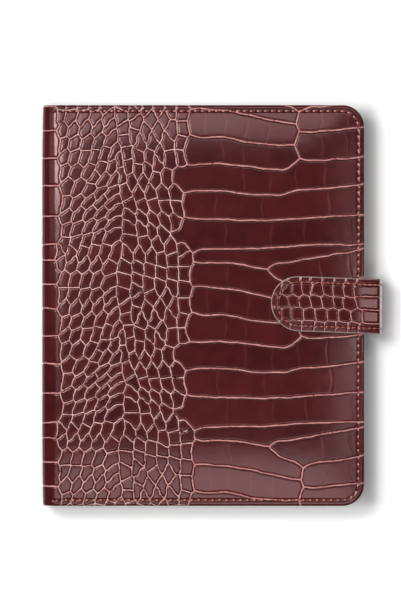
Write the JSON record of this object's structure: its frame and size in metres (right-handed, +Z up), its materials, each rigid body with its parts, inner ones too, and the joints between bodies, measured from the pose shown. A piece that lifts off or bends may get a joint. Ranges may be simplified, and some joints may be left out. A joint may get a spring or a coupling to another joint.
{
  "type": "weekly planner",
  "caption": "Ring-bound weekly planner: padded crocodile-embossed leather covers, a ring mechanism with punched leaves and dividers, and a magnetic strap that closes over the fore-edge.",
  "frame": {"origin": "centre of the back cover's resting face", "axes": "+Z up from the back cover to the front cover, +Y towards the head of the leaves, -X the spine, +X the fore-edge and strap"},
  "size_m": [0.1953, 0.23, 0.0432],
  "materials": {
    "cover_leather": "crocodile-embossed, semi-gloss, paler creases",
    "strap_leather": "small-scale embossed, semi-gloss",
    "pocket_leather": "smooth, satin",
    "lining": "fine twill, matte",
    "foam": "foam padding, matte",
    "board": "grey board, matte",
    "nickel": "nickel plated, polished",
    "steel": "zinc plated",
    "paper": "uncoated, cut edges",
    "divider_year": "card, matte",
    "divider_months": "card, matte",
    "divider_notes": "card, matte",
    "divider_contacts": "card, matte"
  },
  "bodies": {
    "back_cover": {"back_leather": "cover_leather", "back_foam": "foam", "back_board": "board", "back_lining": "lining", "back_slip_pocket": "pocket_leather", "back_hinge_leather": "cover_leather", "back_hinge_lining": "lining", "strap_root": "strap_leather"},
    "spine": {"spine_leather": "cover_leather", "spine_board": "board", "spine_lining": "lining", "ring_plate": "nickel", "rivet_head_end": "nickel", "rivet_foot_end": "nickel"},
    "front_cover": {"front_leather": "cover_leather", "front_foam": "foam", "front_board": "board", "front_lining": "lining", "catch_plate": "steel", "front_slip_pocket": "pocket_leather", "card_pocket_1": "pocket_leather", "card_pocket_2": "pocket_leather", "card_pocket_3": "pocket_leather", "front_hinge_leather": "cover_leather", "front_hinge_lining": "lining"},
    "rings_upper": {"rail_upper": "steel", "ring_1_upper": "nickel", "ring_2_upper": "nickel", "ring_3_upper": "nickel", "ring_4_upper": "nickel", "ring_5_upper": "nickel", "ring_6_upper": "nickel"},
    "rings_lower": {"rail_lower": "steel", "ring_1_lower": "nickel", "ring_2_lower": "nickel", "ring_3_lower": "nickel", "ring_4_lower": "nickel", "ring_5_lower": "nickel", "ring_6_lower": "nickel"},
    "lever_head": {"lever_head_end": "nickel"},
    "lever_foot": {"lever_foot_end": "nickel"},
    "front_pages": {"divider_year": "divider_year", "year_pages": "paper", "divider_months": "divider_months", "month_pages": "paper", "week_pages_first_half": "paper"},
    "rear_pages": {"week_pages_second_half": "paper", "divider_notes": "divider_notes", "notes_pages": "paper", "divider_contacts": "divider_contacts", "contact_pages": "paper"},
    "strap_wall": {"strap_wall_leather": "strap_leather", "strap_wall_lining": "lining"},
    "strap_flap": {"strap_flap_leather": "strap_leather", "strap_flap_lining": "lining", "strap_magnet": "steel"}
  },
  "joints": [
    {"name": "spine_fold", "type": "hinge", "parent": "back_cover", "child": "spine", "pos_m": [-0.09082, 0, 0.00168], "axis": [0, -1, 0], "range_deg": [0, 90], "deforming": ["back_hinge_leather", "back_hinge_lining"]},
    {"name": "front_cover_fold", "type": "hinge", "parent": "spine", "child": "front_cover", "pos_m": [-0.09082, 0, 0.03932], "axis": [0, -1, 0], "range_deg": [0, 90], "deforming": ["front_hinge_leather", "front_hinge_lining"]},
    {"name": "rear_pages_turn", "type": "hinge", "parent": "spine", "child": "rear_pages", "pos_m": [-0.072, 0, 0.0205], "axis": [0, 1, 0], "range_deg": [0, 90]},
    {"name": "front_pages_turn", "type": "hinge", "parent": "spine", "child": "front_pages", "pos_m": [-0.072, 0, 0.0205], "axis": [0, -1, 0], "range_deg": [0, 92.52]},
    {"name": "rings_upper_open", "type": "hinge", "parent": "spine", "child": "rings_upper", "pos_m": [-0.0871, 0, 0.0275], "axis": [0, -1, 0], "range_deg": [0, 5]},
    {"name": "rings_lower_open", "type": "hinge", "parent": "spine", "child": "rings_lower", "pos_m": [-0.0871, 0, 0.0135], "axis": [0, 1, 0], "range_deg": [0, 5]},
    {"name": "lever_head_press", "type": "hinge", "parent": "spine", "child": "lever_head", "pos_m": [-0.08585, 0.101, 0.0205], "axis": [0, 0, 1], "range_deg": [0, 12]},
    {"name": "lever_foot_press", "type": "hinge", "parent": "spine", "child": "lever_foot", "pos_m": [-0.08585, -0.101, 0.0205], "axis": [0, 0, -1], "range_deg": [0, 12]},
    {"name": "strap_wall_fold", "type": "hinge", "parent": "back_cover", "child": "strap_wall", "pos_m": [0.10055, 0.001, 0.00335], "axis": [0, 1, 0], "range_deg": [0, 90], "deforming": ["strap_wall_leather", "strap_wall_lining"]},
    {"name": "strap_flap_fold", "type": "hinge", "parent": "strap_wall", "child": "strap_flap", "pos_m": [0.1013, 0.001, 0.0417], "axis": [0, 1, 0], "range_deg": [0, 90], "deforming": ["strap_flap_leather", "strap_flap_lining", "strap_magnet"]}
  ],
  "couplings": [
    {"joint": "rear_pages_turn", "follows": "spine_fold", "ratio": 1},
    {"joint": "front_pages_turn", "follows": "front_cover_fold", "ratio": 1.028},
    {"joint": "rings_lower_open", "follows": "rings_upper_open", "ratio": 1},
    {"joint": "lever_head_press", "follows": "rings_upper_open", "ratio": 2.4},
    {"joint": "lever_foot_press", "follows": "rings_upper_open", "ratio": 2.4}
  ]
}
